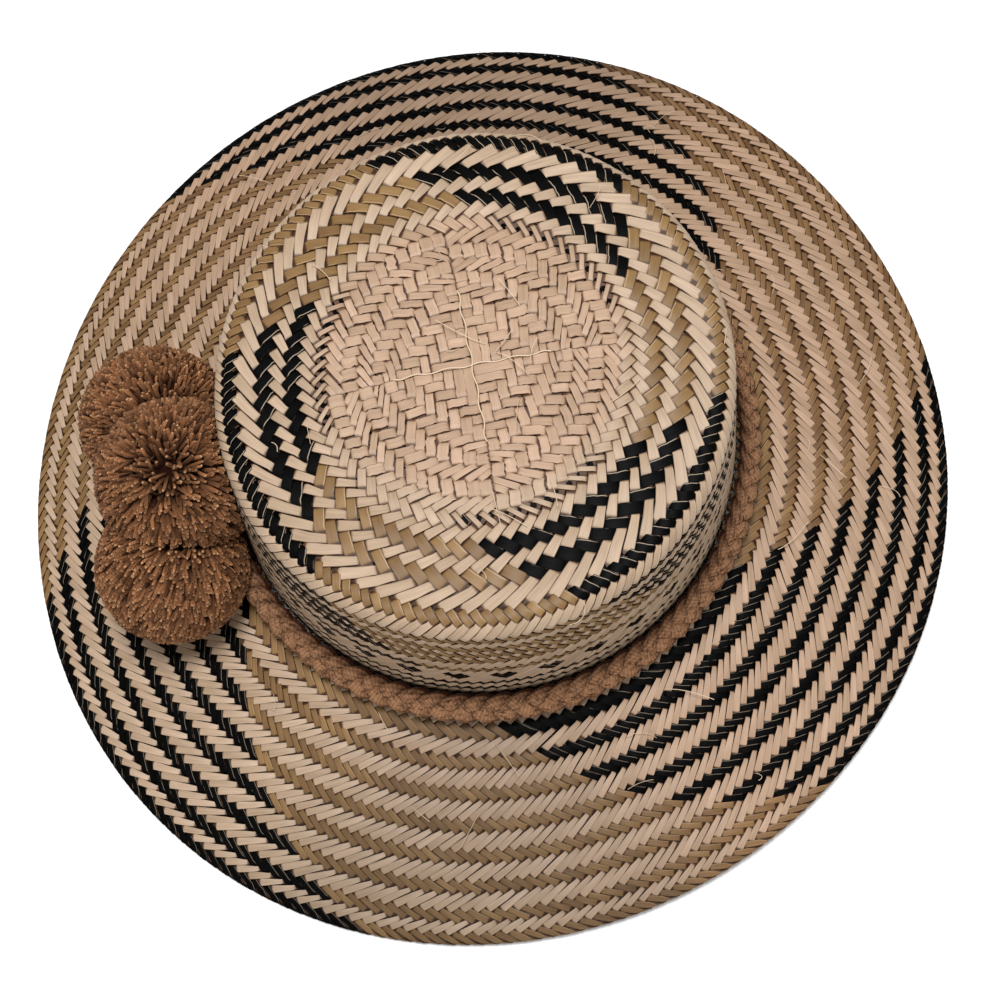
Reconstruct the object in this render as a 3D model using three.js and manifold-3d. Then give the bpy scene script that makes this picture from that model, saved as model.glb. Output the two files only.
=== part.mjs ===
// A wide-brimmed plaited straw hat with a flat round crown, a wool braid round the crown's foot and
// three wool pompoms. Millimetres, +Z up. The hat lies on its brim on the plane z = 0, and the origin is
// under the middle of its outline. Seen from above, +X is the wearer's right and -Y the side that faces
// the viewer; angles run counterclockwise from +X.
import * as THREE from 'three';
import { mergeVertices } from 'three/addons/utils/BufferGeometryUtils.js';
import Module from 'manifold-3d';

const wasm = await Module();
wasm.setup();

// Driving dimensions of the straw
const WALL = 2; // the plait's thickness
const COLUMNS = 72; // flat facets round the hat
const TOP_HEIGHT = 90; // crown's flat top above the surface the hat lies on
const RIDGE_RADIUS = 91; // crown's upper edge, mean of its long and short half widths
const FOOT_RADIUS = 97.5; // crown's side where the braid hides it
const BRIM_RADIUS = 180; // brim's mean outline
const BRIM_ROOT_HEIGHT = 17; // brim's upper face at the crown's foot
const BRIM_EDGE_HEIGHT = 2; // brim's upper face at its outline
const RIDGE_ROUND = 6; // radius of the crown's upper edge
const FOOT_ROUND = 4; // radius of the corner between crown and brim
const EDGE_FLAT = 5; // width of the level strip under the brim's outline, which lies on the surface
const ROUND_STEPS = 3; // facets in each rounded corner
const BRIM_STEPS = 4; // facets from the crown's foot to the outline

// How far the hat is from round, from the top down to the brim's outline
const OVAL = 2.9; // the crown is this much narrower along X and longer along Y than its mean radius
const RIDGE_SHIFT = new THREE.Vector2(1.1, -4.6); // the crown leans: its top sits off its foot by this
const BRIM_WAVES = [
  { lobes: 2, reach: 4.9, peak: 84 },
  { lobes: 3, reach: 1.23, peak: 111 },
]; // the outline swells outward by reach at each lobe, the first of them at the peak angle in degrees
const SAG = { lobes: 3, reach: 1.6, low: 2.5 }; // the edge lifts by twice reach between its low points

// Driving dimensions of the wool
const BRAID = { width: 12.5, thickness: 5, round: 2.2, radius: 102.4, height: 24.4, lean: 43 };
const CLEARANCE = 0.3; // gap between pieces that press on each other
const LOCKS = 34; // tufts of yarn on each pompom
const LOCK_SIDES = 6;
const LOCK_ROOT = 0.55; // where a tuft starts, as a share of the pompom's radius
const LOCK_TIP_WIDTH = 0.21; // a tuft's radius at its cut end, as a share of the pompom's radius
const LOCK_ROOT_WIDTH = 0.12;
const HEAD_SHARE = 0.87; // radius of the ball that the tufts grow from
const POMPOMS = [
  { name: 'pompom_upper', centre: [-120, 1, 36], radius: 28 },
  { name: 'pompom_middle', centre: [-105, -29.5, 55], radius: 28.7 },
  { name: 'pompom_lower', centre: [-110, -55.5, 35], radius: 27 },
];

const straw = new THREE.MeshStandardMaterial({ color: 0xcbb08f, roughness: 0.62, metalness: 0 });
const wool = new THREE.MeshStandardMaterial({ color: 0x9a6c4a, roughness: 0.95, metalness: 0 });

const degrees = THREE.MathUtils.degToRad;
const clamp01 = (value) => THREE.MathUtils.clamp(value, 0, 1);

// Points on an arc from one angle to another, in degrees, both ends included
function arc(centreX, centreY, radius, from, to, steps = ROUND_STEPS) {
  const points = [];
  for (let i = 0; i <= steps; i += 1) {
    const angle = degrees(from + ((to - from) * i) / steps);
    points.push(new THREE.Vector2(centreX + radius * Math.cos(angle), centreY + radius * Math.sin(angle)));
  }
  return points;
}

// The height of the brim's upper face at a radius, before the edge's waves
function brimHeight(radius) {
  const share = (radius - FOOT_RADIUS) / (BRIM_RADIUS - FOOT_RADIUS);
  return BRIM_ROOT_HEIGHT + (BRIM_EDGE_HEIGHT - BRIM_ROOT_HEIGHT) * share;
}

// Half of the plait's section, (radius, height), from the top's centre to the brim's outline. An inset of
// zero gives the upper face, an inset of the wall's thickness the face that the head meets.
function face(inset) {
  const top = TOP_HEIGHT - inset;
  const ridge = RIDGE_ROUND - inset;
  const foot = FOOT_ROUND + inset;
  const slope = Math.atan2(FOOT_RADIUS - RIDGE_RADIUS, TOP_HEIGHT - BRIM_ROOT_HEIGHT);
  const lean = THREE.MathUtils.radToDeg(slope);
  const droop = THREE.MathUtils.radToDeg(
    Math.atan2(BRIM_ROOT_HEIGHT - BRIM_EDGE_HEIGHT, BRIM_RADIUS - FOOT_RADIUS),
  );
  const ridgeX = RIDGE_RADIUS - RIDGE_ROUND;
  const ridgeY = TOP_HEIGHT - RIDGE_ROUND;
  const footX = FOOT_RADIUS + FOOT_ROUND;
  const footY = brimHeight(footX) + FOOT_ROUND;
  const points = [new THREE.Vector2(0, top)];
  points.push(...arc(ridgeX, ridgeY, ridge, 90, lean));
  points.push(...arc(footX, footY, foot, 180 + lean, 270 - droop));
  const start = points[points.length - 1].x;
  const end = BRIM_RADIUS - EDGE_FLAT;
  for (let i = 1; i <= BRIM_STEPS; i += 1) {
    const radius = start + ((end - start) * i) / BRIM_STEPS;
    points.push(new THREE.Vector2(radius, brimHeight(radius) - inset));
  }
  return points;
}

// Moves a round lathed point to its place on the real hat: oval crown, leaning top, waved brim
function strawPlace(point) {
  const radius = Math.hypot(point.x, point.y);
  const angle = Math.atan2(point.y, point.x);
  const crownShare = Math.min(radius / RIDGE_RADIUS, 1);
  const brimShare = clamp01((radius - FOOT_RADIUS) / (BRIM_RADIUS - FOOT_RADIUS));
  const lift = clamp01((point.z - BRIM_ROOT_HEIGHT) / (TOP_HEIGHT - RIDGE_ROUND - BRIM_ROOT_HEIGHT));
  let reach = -OVAL * Math.cos(2 * angle) * crownShare * (1 - brimShare);
  for (const wave of BRIM_WAVES) {
    reach += brimShare * wave.reach * Math.cos(wave.lobes * (angle - degrees(wave.peak)));
  }
  const wave = 1 - Math.cos(SAG.lobes * (angle - degrees(SAG.low)));
  point.set(
    (radius + reach) * Math.cos(angle) + RIDGE_SHIFT.x * lift,
    (radius + reach) * Math.sin(angle) + RIDGE_SHIFT.y * lift,
    point.z + SAG.reach * wave * brimShare * brimShare,
  );
}

// Turns a closed section about +Z and moves every vertex by the place function
function turned(section, place) {
  const geometry = new THREE.LatheGeometry(section, COLUMNS);
  geometry.rotateX(Math.PI / 2);
  const positions = geometry.getAttribute('position');
  const point = new THREE.Vector3();
  for (let i = 0; i < positions.count; i += 1) {
    point.fromBufferAttribute(positions, i);
    place(point);
    positions.setXYZ(i, point.x, point.y, point.z);
  }
  return geometry;
}

// The hat's own wall: down the upper face to the outline and back up the inner face
function strawGeometry() {
  const outer = face(0);
  const inner = face(WALL);
  inner[inner.length - 1].y = 0;
  const outline = [
    new THREE.Vector2(BRIM_RADIUS, BRIM_EDGE_HEIGHT),
    new THREE.Vector2(BRIM_RADIUS, 0),
  ];
  const section = [...outer, ...outline, ...inner.reverse()];
  return turned(section.reverse(), strawPlace);
}

// Everything under the hat's upper face, grown by the clearance, to cut what leans on it
function strawCutter() {
  const grown = face(-CLEARANCE);
  const section = [
    ...grown,
    new THREE.Vector2(BRIM_RADIUS, BRIM_EDGE_HEIGHT),
    new THREE.Vector2(BRIM_RADIUS, -WALL),
    new THREE.Vector2(0, -WALL),
  ];
  return turned(section.reverse(), strawPlace);
}

// A flat braid with round edges that leans on the crown's foot
function braidGeometry(grow) {
  const half = BRAID.width / 2 - BRAID.round;
  const thin = BRAID.thickness / 2 - BRAID.round;
  const corners = [
    [half, thin, 0],
    [-half, thin, 90],
    [-half, -thin, 180],
    [half, -thin, 270],
  ];
  const turn = degrees(-BRAID.lean);
  const middle = new THREE.Vector2(BRAID.radius, BRAID.height);
  const section = [];
  for (const [x, y, from] of corners) {
    for (const point of arc(x, y, BRAID.round + grow, from, from + 90, 2)) {
      section.push(point.rotateAround(new THREE.Vector2(), turn).add(middle));
    }
  }
  section.push(section[0].clone());
  return turned(section, strawPlace);
}

// manifold-3d's solid for a closed geometry
function solid(geometry) {
  const bare = geometry.clone();
  bare.deleteAttribute('normal');
  bare.deleteAttribute('uv');
  const merged = mergeVertices(bare, 1e-4);
  const position = merged.getAttribute('position');
  const kept = [];
  for (let i = 0; i < merged.index.count; i += 3) {
    const [a, b, c] = [0, 1, 2].map((k) => merged.index.getX(i + k));
    if (a !== b && b !== c && a !== c) {
      kept.push(a, b, c);
    }
  }
  const mesh = new wasm.Mesh({
    numProp: 3,
    vertProperties: new Float32Array(position.array),
    triVerts: new Uint32Array(kept),
  });
  return new wasm.Manifold(mesh);
}

// A geometry for one of manifold-3d's solids
function geometryOf(manifold) {
  const mesh = manifold.getMesh();
  const geometry = new THREE.BufferGeometry();
  geometry.setAttribute('position', new THREE.BufferAttribute(new Float32Array(mesh.vertProperties), 3));
  geometry.setIndex(new THREE.BufferAttribute(new Uint32Array(mesh.triVerts), 1));
  geometry.computeVertexNormals();
  return geometry;
}

// Evenly spread directions on a sphere
function spread(count) {
  const golden = Math.PI * (3 - Math.sqrt(5));
  const directions = [];
  for (let i = 0; i < count; i += 1) {
    const z = 1 - (2 * (i + 0.5)) / count;
    const level = Math.sqrt(1 - z * z);
    directions.push(new THREE.Vector3(level * Math.cos(golden * i), level * Math.sin(golden * i), z));
  }
  return directions;
}

// One ball of cut yarn: blunt tufts that widen outward, grown from a round head
function tuftedBall({ centre, radius }) {
  const head = new THREE.IcosahedronGeometry(radius * HEAD_SHARE, 3);
  let ball = solid(head);
  const length = radius * (1 - LOCK_ROOT);
  const up = new THREE.Vector3(0, 1, 0);
  for (const direction of spread(LOCKS)) {
    const tuft = new THREE.CylinderGeometry(
      radius * LOCK_TIP_WIDTH,
      radius * LOCK_ROOT_WIDTH,
      length,
      LOCK_SIDES,
    );
    tuft.applyQuaternion(new THREE.Quaternion().setFromUnitVectors(up, direction));
    const middle = direction.clone().multiplyScalar(radius - length / 2);
    tuft.translate(middle.x, middle.y, middle.z);
    ball = ball.add(solid(tuft));
  }
  return ball.translate(centre);
}

// The block of space past the plane halfway between two pressed pompoms, seen from the first
function pastMiddle(first, second) {
  const here = new THREE.Vector3(...first.centre);
  const there = new THREE.Vector3(...second.centre);
  const gap = here.distanceTo(there);
  const size = 2 * (first.radius + second.radius);
  const near = (gap + first.radius - second.radius) / 2 - CLEARANCE / 2;
  const block = new THREE.BoxGeometry(size, size, size);
  block.translate(0, near + size / 2, 0);
  const direction = there.clone().sub(here).divideScalar(gap);
  const up = new THREE.Vector3(0, 1, 0);
  block.applyQuaternion(new THREE.Quaternion().setFromUnitVectors(up, direction));
  block.translate(here.x, here.y, here.z);
  return block;
}

// A pompom, flattened where it leans on the straw, the braid and its neighbours
function pompomGeometry(pompom) {
  let ball = tuftedBall(pompom);
  ball = ball.subtract(solid(strawCutter()));
  ball = ball.subtract(solid(braidGeometry(CLEARANCE)));
  for (const other of POMPOMS) {
    if (other !== pompom) {
      ball = ball.subtract(solid(pastMiddle(pompom, other)));
    }
  }
  const bodies = ball.decompose().sort((a, b) => b.volume() - a.volume());
  return geometryOf(bodies[0]); // a crumb cut off a tuft is dropped
}

function named(name, geometry, material) {
  const mesh = new THREE.Mesh(geometry, material);
  mesh.name = name;
  return mesh;
}

const hat = new THREE.Group();
hat.add(named('straw_body', strawGeometry(), straw));
hat.add(named('braid_band', braidGeometry(0), wool));
for (const pompom of POMPOMS) {
  hat.add(named(pompom.name, pompomGeometry(pompom), wool));
}

// The origin goes under the middle of the whole outline
const box = new THREE.Box3().setFromObject(hat);
const middle = box.getCenter(new THREE.Vector3());
hat.position.set(-middle.x, -middle.y, -box.min.z);

export default hat;
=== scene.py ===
# A plaited straw hat lying on its brim: the straw is plaited strip by strip in code, the band is braided
# from wool yarn and the pompoms are made of cut yarn ends. Sizes are in millimetres until a mesh is made.
import math

import bpy
import numpy as np
from mathutils import Matrix, Vector


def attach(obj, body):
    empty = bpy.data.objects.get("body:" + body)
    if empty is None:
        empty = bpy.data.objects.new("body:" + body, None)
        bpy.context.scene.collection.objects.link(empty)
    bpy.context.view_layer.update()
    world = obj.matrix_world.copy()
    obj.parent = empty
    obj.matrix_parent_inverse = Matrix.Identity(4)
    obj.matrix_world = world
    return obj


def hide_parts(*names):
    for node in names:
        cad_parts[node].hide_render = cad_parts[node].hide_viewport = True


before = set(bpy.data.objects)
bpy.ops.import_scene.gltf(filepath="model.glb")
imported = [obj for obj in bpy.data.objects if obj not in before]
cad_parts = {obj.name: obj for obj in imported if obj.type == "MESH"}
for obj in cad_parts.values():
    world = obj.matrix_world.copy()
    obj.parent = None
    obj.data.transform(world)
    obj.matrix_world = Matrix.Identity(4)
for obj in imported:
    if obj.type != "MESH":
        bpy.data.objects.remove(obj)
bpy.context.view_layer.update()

MM = 0.001
SEED = 7

# The straw body's driving sizes, the same as the solid's
RIDGE_RADIUS = 91.0
FOOT_RADIUS = 97.5
BRIM_RADIUS = 180.0
TOP_HEIGHT = 90.0
BRIM_ROOT_HEIGHT = 17.0
BRIM_EDGE_HEIGHT = 2.0
RIDGE_ROUND = 6.0
FOOT_ROUND = 4.0
OVAL = 2.9
RIDGE_SHIFT = (1.1, -4.6)
BRIM_WAVES = ((2, 4.9, 84.0), (3, 1.23, 111.0))  # lobes, reach, peak angle in degrees
SAG_LOBES, SAG_REACH, SAG_LOW = 3, 1.6, 2.5

# The plait's thickness
MIDDLE_DEPTH = 0.8  # the plait's middle below the solid's upper face
RISE = 0.42  # how far a strip runs above or below the plait's middle
STRIP_THICK = 0.34
STRIP_CROWN = 0.06  # a strip's middle above its edges
ROLL = math.radians(5.0)  # how far a strip leans over the next one
EDGE_TURN = 1.2  # the upper face's radius where the brim's edge turns under
FLATTEN = 2.5  # the stretch before the edge where the plait is pressed flat
HEM_RISE = 0.3  # the share of the rise that is left there
HEM = 7.0  # how far the turned strips run back under the brim
BENT = 0.06  # a turn of the face, in radians, that needs a station of its own
CHANGES = (0.18, 0.5, 0.82)  # a strip's stations between two crossings where it changes sides
LEVEL_REACH, OVERRUN = 0.3, 0.45  # how far it stays level round a crossing and runs past its last one
TAPER = ((0.5, 0.34), (0.82, 0.34), (2.0, 0.15))  # what a float lacks in width, by levels from its inner end
BEND_REACH, TANGENT_STEP, SAME_STATION = 0.2, 0.3, 0.1  # reaches for a bend, a way and a station
SKEW_ROUNDS = 4
FIBRE_SPREAD = 900.0  # how far apart the fibre patterns of two strips lie
# The strips' irregularity: shares of a strip's room, and mm for its height
WIDTH_SPREAD, DRIFT_SPREAD, WANDER, HEIGHT_SPREAD = 0.05, 0.04, 0.025, 0.03

# The camera match: angles in degrees, the rest in millimetres and pixels of a 1000 pixel frame
CAMERA_TILT = 20.91
CAMERA_TURN = 8.16
CAMERA_DISTANCE = 600.0
CAMERA_LOOK = (5.5, -18.9, 0.0)
FOCAL_PIXELS = 1562.0
FRAME_PIXELS = 1000.0
SENSOR = 36.0
CLIP_NEAR, CLIP_FAR = 0.01, 20.0  # in metres


# How far the hat is from round, and its place in the frame
def outline_reach(angle, share):
    """How far a point at this angle lies outside a round hat; share is 0 at the foot and 1 at the edge."""
    reach = -OVAL * np.cos(2 * angle) * (1 - share)
    for lobes, size, peak in BRIM_WAVES:
        reach = reach + share * size * np.cos(lobes * (angle - math.radians(peak)))
    return reach


def hat_shift():
    """The step from the hat's own axis to the frame's origin, from the middle of the brim's outline."""
    angle = np.radians(np.arange(0, 360, 5.0))
    radius = BRIM_RADIUS + outline_reach(angle, 1.0)
    x, y = radius * np.cos(angle), radius * np.sin(angle)
    return np.array([-(x.min() + x.max()) / 2, -(y.min() + y.max()) / 2, 0.0])


SHIFT = hat_shift()


# The straw's upper face as a path from the top's centre over the ridge to the brim's edge
def brim_height(radius):
    share = (radius - FOOT_RADIUS) / (BRIM_RADIUS - FOOT_RADIUS)
    return BRIM_ROOT_HEIGHT + (BRIM_EDGE_HEIGHT - BRIM_ROOT_HEIGHT) * share


def arc(centre, size, start, end, steps, hollow=False):
    """Rows of radius, height and facing angle along an arc; a hollow arc's face looks at its centre."""
    turn = np.linspace(start, end, steps)
    rows = [centre[0] + size * np.cos(turn), centre[1] + size * np.sin(turn)]
    return np.stack(rows + [turn - math.pi if hollow else turn], 1)


LEAN = math.atan2(FOOT_RADIUS - RIDGE_RADIUS, TOP_HEIGHT - BRIM_ROOT_HEIGHT)
DROOP = math.atan2(BRIM_ROOT_HEIGHT - BRIM_EDGE_HEIGHT, BRIM_RADIUS - FOOT_RADIUS)
UP = math.pi / 2
ARC_STEPS = 17


def upper_face():
    """Rows of radius, height and facing angle from the top's centre to the end of the turned hem."""
    foot = FOOT_RADIUS + FOOT_ROUND
    edge = BRIM_RADIUS - EDGE_TURN
    over = arc((RIDGE_RADIUS - RIDGE_ROUND, TOP_HEIGHT - RIDGE_ROUND), RIDGE_ROUND, UP, LEAN, ARC_STEPS)
    hollow = (foot, brim_height(foot) + FOOT_ROUND)
    low = arc(hollow, FOOT_ROUND, math.pi + LEAN, 3 * UP - DROOP, ARC_STEPS, hollow=True)
    middle = (edge, brim_height(edge) - EDGE_TURN)
    under = arc(middle, EDGE_TURN, UP - DROOP, -UP - DROOP, ARC_STEPS)
    last = (edge - HEM, under[-1, 1], -UP - DROOP)
    return np.vstack([[(0.0, TOP_HEIGHT, UP)], over, low, under, [last]])


FACE = upper_face()
FACE_LENGTH = np.concatenate([[0], np.cumsum(np.hypot(np.diff(FACE[:, 0]), np.diff(FACE[:, 1])))])
FOOT_LENGTH = FACE_LENGTH[2 * ARC_STEPS]
EDGE_LENGTH = FACE_LENGTH[3 * ARC_STEPS]


def brim_length(radius):
    """The arc length along the upper face at a radius of the brim."""
    return FOOT_LENGTH + (radius - FACE[2 * ARC_STEPS, 0]) / math.cos(DROOP)


def place(radius, height, angle):
    """The real hat's point for a point of the round one: oval crown, leaning top, waved brim."""
    crown = np.minimum(radius / RIDGE_RADIUS, 1.0)
    share = np.clip((radius - FOOT_RADIUS) / (BRIM_RADIUS - FOOT_RADIUS), 0, 1)
    lift_span = TOP_HEIGHT - RIDGE_ROUND - BRIM_ROOT_HEIGHT
    lift = np.clip((height - BRIM_ROOT_HEIGHT) / lift_span, 0, 1)
    out = radius + crown * outline_reach(angle, share)
    wave = 1 - np.cos(SAG_LOBES * (angle - math.radians(SAG_LOW)))
    x = out * np.cos(angle) + RIDGE_SHIFT[0] * lift
    y = out * np.sin(angle) + RIDGE_SHIFT[1] * lift
    z = height + SAG_REACH * wave * share * share
    return np.stack(np.broadcast_arrays(x, y, z), -1) + SHIFT


def straw_point(along, angle, depth=MIDDLE_DEPTH):
    """A point under the upper face, and the direction that the face looks to."""
    radius, height, facing = [np.interp(along, FACE_LENGTH, FACE[:, k]) for k in range(3)]
    point = place(radius - depth * np.cos(facing), height - depth * np.sin(facing), angle)
    out = np.cos(facing)
    normal = np.stack(np.broadcast_arrays(out * np.cos(angle), out * np.sin(angle), np.sin(facing)), -1)
    return point, normal


# Meshes from arrays
STRIP_SHARP, YARN_SHARP, BRAID_SHARP = 45, 75, 80  # the angle, in degrees, from which an edge is sharp
STRIP_ACROSS = (0, 0.5, 1, 1, 0)  # where a strip's five corners lie across it


def round_angles(count):
    return np.linspace(0, 2 * math.pi, count, endpoint=False)


def unit(vectors):
    return vectors / np.maximum(np.linalg.norm(vectors, axis=-1, keepdims=True), 1e-12)


def add_object(name, data):
    obj = bpy.data.objects.new(name, data)
    bpy.context.scene.collection.objects.link(obj)
    return obj


def add_mesh(name, points, faces, materials, sharp, uv, **floats):
    """A mesh in metres from millimetre points; faces is a list of corner arrays with their slots."""
    mesh = bpy.data.meshes.new(name)
    corners = np.concatenate([face.ravel() for face, slot in faces]).astype(np.int32)
    sizes = np.concatenate([np.full(len(face), face.shape[1]) for face, slot in faces])
    slots = np.concatenate([np.broadcast_to(slot, len(face)) for face, slot in faces])
    mesh.vertices.add(len(points))
    mesh.vertices.foreach_set("co", (points * MM).astype(np.float32).ravel())
    mesh.loops.add(len(corners))
    mesh.loops.foreach_set("vertex_index", corners)
    mesh.polygons.add(len(sizes))
    mesh.polygons.foreach_set("loop_start", (np.cumsum(sizes) - sizes).astype(np.int32))
    mesh.polygons.foreach_set("material_index", slots.astype(np.int32))
    mesh.polygons.foreach_set("use_smooth", np.ones(len(sizes), bool))
    layer = mesh.uv_layers.new(name="strip")
    layer.data.foreach_set("uv", np.asarray(uv, np.float32)[corners].ravel())
    mesh.update(calc_edges=True)
    for label, values in floats.items():
        layer = mesh.attributes.new(label, "FLOAT", "POINT")
        layer.data.foreach_set("value", np.asarray(values, np.float32).ravel())
    for material in materials:
        mesh.materials.append(material)
    mesh.set_sharp_from_angle(angle=math.radians(sharp))
    return add_object(name, mesh)


def tubes(ring, closed=False):
    """Faces round rows x stations x corners points: the sides, and both ends when the rows are open."""
    rows, stations, corners = ring.shape[:3]
    index = np.arange(rows * stations * corners).reshape(rows, stations, corners)
    beside = np.roll(index, -1, axis=2)
    quads = np.stack([index, np.roll(index, -1, axis=1), np.roll(beside, -1, axis=1), beside], -1)
    sides = quads if closed else quads[:, :-1]
    return sides, index[:, 0], index[:, -1, ::-1]


def round_yarn(paths, guide, corners, thick):
    """Rings of corners round rows of points; thick is half the yarn's width, guide a way it doesn't run."""
    run = unit(np.gradient(paths, axis=1))
    first = unit(np.cross(run, guide))
    second = np.cross(run, first)
    turn = round_angles(corners)
    around = first[:, :, None] * np.cos(turn)[:, None] + second[:, :, None] * np.sin(turn)[:, None]
    return paths[:, :, None] + around * thick


class Strips:
    """Collects flat strips of straw and turns them into one mesh."""

    def __init__(self):
        self.points, self.faces, self.uv, self.tone, self.lift = [], [], [], [], []
        self.count = 0

    def add(self, centre, side, normal, width, tone, slot, lift):
        """Rows of strips with their stations; lift is 1 where a strip is on top and -1 where it is under."""
        rows, stations = centre.shape[:2]
        half = side * width[..., None] / 2
        top, crown = normal * STRIP_THICK / 2, normal * STRIP_CROWN
        upper = [centre - half + top, centre + top + crown, centre + half + top]
        ring = np.stack(upper + [centre + half - top, centre - half - top], 2)
        corners = len(STRIP_ACROSS)
        steps = np.linalg.norm(np.diff(centre, axis=1), axis=-1)
        along = np.concatenate([np.zeros((rows, 1)), np.cumsum(steps, 1)], 1)
        u = np.repeat((along + tone[:, None] * FIBRE_SPREAD)[..., None], corners, 2)
        v = np.broadcast_to(np.array(STRIP_ACROSS), u.shape)
        sides, start, end = tubes(ring)
        slot = np.broadcast_to(slot, (rows, stations))
        side_slots = np.repeat(slot[:, :-1, None], corners, 2)
        self.faces += [(sides.reshape(-1, 4) + self.count, side_slots.ravel())]
        self.faces += [(start + self.count, slot[:, 0]), (end + self.count, slot[:, -1])]
        self.points.append(ring.reshape(-1, 3))
        self.uv.append(np.stack([u, v], -1).reshape(-1, 2))
        self.tone.append(np.repeat(tone, stations * corners))
        self.lift.append(np.repeat(np.broadcast_to(lift, (rows, stations)), corners))
        self.count += rows * stations * corners

    def mesh(self, name, materials):
        parts = (self.points, self.uv, self.tone, self.lift)
        points, uv, tone, lift = (np.concatenate(part) for part in parts)
        return add_mesh(name, points, self.faces, materials, STRIP_SHARP, uv, tone=tone, lift=lift)


# The plait's zones
NATURAL, OLIVE, BLACK = 0, 1, 2
PLAIN, DYED = -1, 1  # the family that leans clockwise on its way out, and the one that leans the other way


class Zone:
    """A ring of the plait with a fixed number of strips in each family.

    Bands are rows of the family on top, its levels and the band's width in mm. Levels are rings of
    crossings, numbered from the zone's inner edge. Three groups of black strips start one strip width
    after group_angle, measured in degrees at group_level."""

    def __init__(self, count, start, bands, group_level, group_angle, skew, spots=None, wedge=1.0):
        self.count = count
        self.wedge = wedge
        self.pitch = 2 * math.pi / count
        self.skew = (math.radians(skew[0]), math.radians(skew[1]))
        over, levels, spans = zip(*bands)
        self.knots = np.concatenate([[0], np.cumsum(levels)]) - 0.5
        self.lengths = start + np.concatenate([[0], np.cumsum(spans)])
        self.plain_over = np.repeat(np.array(over) == PLAIN, levels)
        self.levels = len(self.plain_over)
        self.spots = spots
        self.phase = math.radians(group_angle) - (group_level / 2 - 0.5) * self.pitch

    def along(self, level):
        return np.interp(level, self.knots, self.lengths)

    def angle(self, family, number, level):
        flat = (number + family * level / 2) * self.pitch + self.phase
        size, peak = self.skew
        angle = flat
        for _ in range(SKEW_ROUNDS):
            angle = flat + size * np.cos(angle - peak)
        return angle

    def point(self, family, number, level):
        return straw_point(self.along(level), self.angle(family, number, level))

    def on_top(self, family, number, level):
        """Whether strips are on top where they cross the other family at whole levels."""
        number, level = np.broadcast_arrays(number, level)
        plain = self.plain_over[np.clip(level, 0, self.levels - 1)]
        if self.spots is not None:
            every, first, last = self.spots
            dyed = number - level if family == PLAIN else number
            spot = (dyed % every == 0) | ((dyed % every == 1) & (level < last))
            plain = plain & ~(spot & (level >= first) & (level <= last))
        return plain if family == PLAIN else ~plain

    def stations(self, family, first, last):
        """Levels of a strip's stations: three where it changes sides, and few where it runs straight."""
        numbers = np.arange(self.count)[:, None]
        found, run = [first - OVERRUN], 0
        for level in range(first, last):
            over = self.on_top(family, numbers, np.array([[level, level + 1]]))
            if (over[:, 0] != over[:, 1]).any():
                found += [level + share for share in CHANGES]
                run = 0
                continue
            run += 1
            ends = self.along(np.array([level - BEND_REACH, level + 1 + BEND_REACH]))
            before, after = np.interp(ends, FACE_LENGTH, FACE[:, 2])
            if abs(after - before) > BENT:
                found.append(level + 0.5)
            elif run % 2 == 0:
                found.append(float(level))
        return np.array(found + [last + OVERRUN])

    def height(self, family, numbers, levels):
        """1 where strips run on top, -1 where they run under, and 0 halfway between."""
        below = np.floor(levels).astype(int)
        part = levels - below
        low = np.where(self.on_top(family, numbers[:, None], below[None, :]), 1.0, -1.0)
        high = np.where(self.on_top(family, numbers[:, None], below[None, :] + 1), 1.0, -1.0)
        share = np.where(part < LEVEL_REACH, 0.0, np.where(part > 1 - LEVEL_REACH, 1.0, 0.5))
        return low * (1 - share) + high * share


def sweep(zone, family, first, last, fill, rng):
    """A family's strips from one level to another: centres, sides, normals, widths, levels and lifts."""
    numbers = np.arange(zone.count)
    levels = zone.stations(family, first, last)
    row, step = numbers[:, None], levels[None, :]
    point, normal = zone.point(family, row, step)
    ahead = zone.point(family, row, step + TANGENT_STEP)[0]
    behind = zone.point(family, row, step - TANGENT_STEP)[0]
    across = zone.point(family, row + 0.5, step)[0] - zone.point(family, row - 0.5, step)[0]
    side = unit(np.cross(normal, ahead - behind))
    room = np.abs(np.sum(across * side, -1))
    width = room * fill * (1 + WIDTH_SPREAD * rng.standard_normal((zone.count, 1)))
    drift = DRIFT_SPREAD * rng.standard_normal((zone.count, 1))
    drift = (drift + WANDER * rng.standard_normal(room.shape)) * room
    for reach, lack in TAPER if family == PLAIN else ():
        lack = lack * zone.wedge
        change = np.round(step - reach).astype(int)
        rising = ~zone.on_top(family, row, change) & zone.on_top(family, row, change + 1)
        part = rising & (np.abs(step - reach - change) < SAME_STATION)
        drift = np.where(part, drift + room * lack / 2, drift)
        width = np.where(part, width * (1 - lack), width)
    turned = np.clip((zone.along(levels) - EDGE_LENGTH + FLATTEN) / FLATTEN, 0, 1)
    lift = zone.height(family, numbers, levels)
    height = lift * RISE * (1 - (1 - HEM_RISE) * turned)
    height = height + HEIGHT_SPREAD * rng.standard_normal((zone.count, 1)) * (1 - turned)
    centre = point + side * drift[..., None] + normal * height[..., None]
    roll = (ROLL * (1 - turned))[:, None]
    leaned = side * np.cos(roll) + normal * np.sin(roll)
    return centre, leaned, normal * np.cos(roll) - side * np.sin(roll), width, levels, lift


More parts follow.
